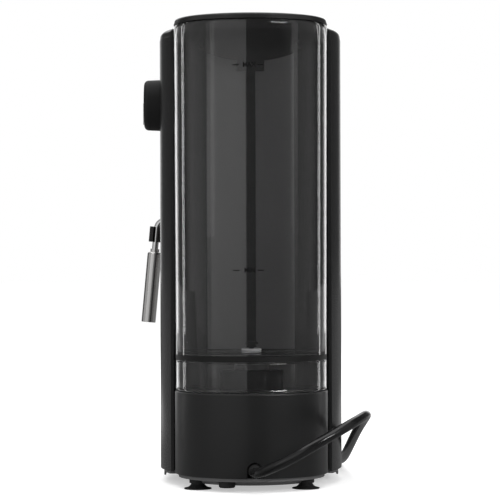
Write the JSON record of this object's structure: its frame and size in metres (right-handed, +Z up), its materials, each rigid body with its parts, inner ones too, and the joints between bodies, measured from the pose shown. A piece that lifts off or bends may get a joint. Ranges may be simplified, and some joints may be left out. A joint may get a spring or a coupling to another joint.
{
  "type": "espresso machine",
  "caption": "Slim upright pump espresso machine with a clear lift-out rear water tank, side steam knob and wand, and a lock-in filter holder over a drip tray.",
  "frame": {"origin": "on the table, under the middle of the machine's outer box, cord apart", "axes": "+Z up, -Y to the machine's front, +X to the side with the steam knob and wand"},
  "size_m": [0.1748, 0.5311, 0.3443],
  "materials": {
    "black_satin": "satin moulded",
    "black_gloss": "polished moulded",
    "dark_grey": "fine texture",
    "clear_tank": "clear moulded, smoky",
    "steel": "brushed",
    "chrome": "polished",
    "valve_grey": "clear moulded",
    "dark_screw": "blackened",
    "cast_aluminium": "cast",
    "valve_brass": "turned",
    "soft_black": "matte",
    "cord_black": "semi-gloss sheath",
    "silver_print": "satin silver",
    "board_green": "solder resist",
    "lamp_lens": "clear amber",
    "hose_clear": "translucent silicone"
  },
  "bodies": {
    "machine": {"housing": "black_satin", "top_cover": "black_satin", "cup_plate": "steel", "front_fascia": "steel", "button_board": "board_green", "pilot_lamp": "lamp_lens", "back_panel": "dark_grey", "panel_screws": "dark_screw", "tank_rail": "black_satin", "rear_base": "black_satin", "tank_socket": "black_satin", "base_plate": "dark_grey", "bottom_pan": "dark_grey", "foot_rear_left": "soft_black", "foot_rear_right": "soft_black", "foot_front_left": "soft_black", "foot_front_right": "soft_black", "rear_peg": "soft_black", "splash_plate": "steel", "steam_valve": "valve_brass", "wand_joint": "black_satin", "steam_pipe": "steel", "group_head": "cast_aluminium", "group_collar": "black_satin", "group_gasket": "soft_black", "shower_screen": "steel", "screen_screw": "steel", "boiler": "cast_aluminium", "pump": "dark_grey", "pump_cradle": "soft_black", "control_board": "board_green", "strain_relief": "soft_black", "power_cord": "cord_black", "cord_coil": "cord_black", "plug": "cord_black", "suction_hose": "hose_clear", "pressure_hose": "hose_clear"},
    "steam_knob_body": {"steam_knob": "black_satin", "knob_pointer": "silver_print", "valve_stem": "valve_brass"},
    "wand": {"wand_tube": "chrome", "wand_sleeve": "steel", "wand_nozzle": "chrome", "wand_grip": "soft_black"},
    "water_tank": {"tank": "clear_tank", "valve_body": "valve_grey", "valve_spring": "chrome"},
    "lid": {"tank_lid": "black_satin"},
    "plunger": {"valve_plunger": "black_satin"},
    "filter_holder": {"portafilter": "chrome", "filter_basket": "steel", "portafilter_spout": "chrome", "portafilter_handle": "black_satin"},
    "tray": {"drip_tray": "black_satin"},
    "grid": {"drip_grid": "steel"},
    "float": {"tray_float": "silver_print"},
    "button_left_body": {"button_left": "black_gloss"},
    "button_middle_body": {"button_middle": "black_gloss"},
    "button_right_body": {"button_right": "black_gloss"}
  },
  "joints": [
    {"name": "knob_turn", "type": "hinge", "parent": "machine", "child": "steam_knob_body", "pos_m": [0.0724, 0.0334, 0.2872], "axis": [1, 0, 0], "range_deg": [0, 270]},
    {"name": "wand_swing", "type": "hinge", "parent": "machine", "child": "wand", "pos_m": [0.0484, -0.0366, 0.2002], "axis": [1, 0, 0], "range_deg": [-60, 45]},
    {"name": "tank_lift", "type": "slide", "parent": "machine", "child": "water_tank", "axis": [0, 0, 1], "range_m": [0, 0.275]},
    {"name": "lid_lift", "type": "slide", "parent": "water_tank", "child": "lid", "axis": [0, 0, 1], "range_m": [0, 0.04]},
    {"name": "plunger_rise", "type": "slide", "parent": "water_tank", "child": "plunger", "axis": [0, 0, 1], "range_m": [0, 0.0015], "stiffness_N_per_m": 120, "springref_m": -0.004, "deforming": ["valve_spring"]},
    {"name": "filter_holder_turn", "type": "hinge", "parent": "machine", "child": "filter_holder", "pos_m": [-0.0096, -0.0386, 0.1844], "axis": [0, 0, 1], "range_deg": [-50, 0]},
    {"name": "tray_slide", "type": "slide", "parent": "machine", "child": "tray", "axis": [0, -1, 0], "range_m": [0, 0.12]},
    {"name": "grid_lift", "type": "slide", "parent": "tray", "child": "grid", "axis": [0, 0, 1], "range_m": [0, 0.03]},
    {"name": "float_rise", "type": "slide", "parent": "tray", "child": "float", "axis": [0, 0, 1], "range_m": [0, 0.007]},
    {"name": "button_left_press", "type": "slide", "parent": "machine", "child": "button_left_body", "axis": [0, 0, -1], "range_m": [0, 0.0014], "stiffness_N_per_m": 400, "springref_m": -0.002},
    {"name": "button_middle_press", "type": "slide", "parent": "machine", "child": "button_middle_body", "axis": [0, 0, -1], "range_m": [0, 0.0014], "stiffness_N_per_m": 400, "springref_m": -0.002},
    {"name": "button_right_press", "type": "slide", "parent": "machine", "child": "button_right_body", "axis": [0, 0, -1], "range_m": [0, 0.0014], "stiffness_N_per_m": 400, "springref_m": -0.002}
  ]
}
